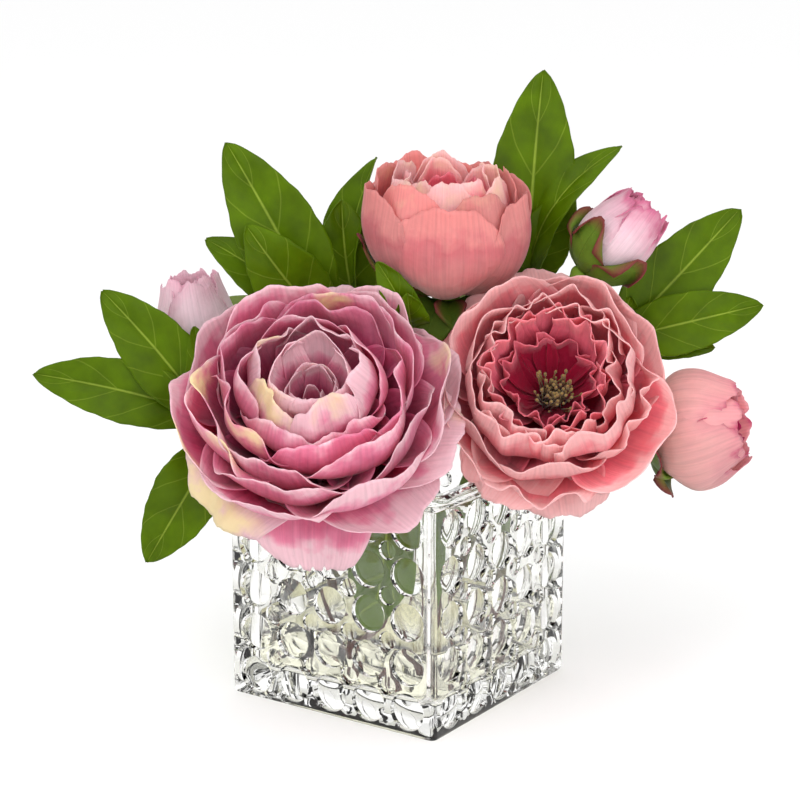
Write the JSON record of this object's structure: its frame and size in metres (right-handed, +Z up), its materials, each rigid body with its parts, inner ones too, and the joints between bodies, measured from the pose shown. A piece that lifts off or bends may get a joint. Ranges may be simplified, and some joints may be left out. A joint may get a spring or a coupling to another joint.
{
  "type": "artificial peonies in a vase",
  "caption": "Faux peony blooms, buds and leaves on wired stems, set in clear resin in a square bubble-glass vase.",
  "frame": {"origin": "centre of the vase's underside", "axes": "+Z up, X and Y along the vase's sides; the bouquet faces the near corner between -Y and +X"},
  "size_m": [0.2544, 0.2214, 0.2541],
  "materials": {
    "bubble_glass": "pressed clear glass with round lenses",
    "set_resin": "clear cast resin that looks like water",
    "stem_plastic": "moulded over wire, brown at the foot",
    "leaf_fabric": "printed and veined polyester",
    "sepal_fabric": "printed polyester with maroon edges",
    "mauve_fabric": "dyed polyester, magenta at the base, cream at the edges",
    "coral_fabric": "dyed polyester, crimson at the base",
    "pale_pink_fabric": "dyed polyester with magenta edges",
    "stamen_fibre": "stiffened thread with powdered tips"
  },
  "bodies": {
    "root": {"vase": "bubble_glass", "set_water": "set_resin", "mauve_stem": "stem_plastic", "coral_open_stem": "stem_plastic", "coral_cup_stem": "stem_plastic", "upper_bud_stem": "stem_plastic", "right_bud_stem": "stem_plastic", "left_bud_stem": "stem_plastic", "leaf_left": "leaf_fabric", "leaf_lower_left": "leaf_fabric", "leaf_upper_left": "leaf_fabric", "leaf_centre": "leaf_fabric", "leaf_small_front": "leaf_fabric", "leaf_top": "leaf_fabric", "leaf_right": "leaf_fabric", "leaf_in_vase": "leaf_fabric", "leaf_back_left": "leaf_fabric", "leaf_back_right": "leaf_fabric", "mauve_calyx": "sepal_fabric", "coral_open_calyx": "sepal_fabric", "coral_cup_calyx": "sepal_fabric", "upper_bud_calyx": "sepal_fabric", "right_bud_calyx": "sepal_fabric", "left_bud_calyx": "sepal_fabric", "mauve_guard_petals": "mauve_fabric", "mauve_outer_petals": "mauve_fabric", "mauve_middle_petals": "mauve_fabric", "mauve_inner_petals": "mauve_fabric", "mauve_heart_petals": "mauve_fabric", "coral_open_guard_petals": "coral_fabric", "coral_open_outer_petals": "coral_fabric", "coral_open_middle_petals": "coral_fabric", "coral_open_inner_petals": "coral_fabric", "coral_cup_outer_petals": "coral_fabric", "coral_cup_middle_petals": "coral_fabric", "coral_cup_inner_petals": "coral_fabric", "coral_cup_heart_petals": "coral_fabric", "right_bud_outer_petals": "coral_fabric", "right_bud_inner_petals": "coral_fabric", "upper_bud_outer_petals": "pale_pink_fabric", "upper_bud_inner_petals": "pale_pink_fabric", "left_bud_outer_petals": "pale_pink_fabric", "left_bud_inner_petals": "pale_pink_fabric", "coral_open_stamens": "stamen_fibre"}
  },
  "joints": []
}
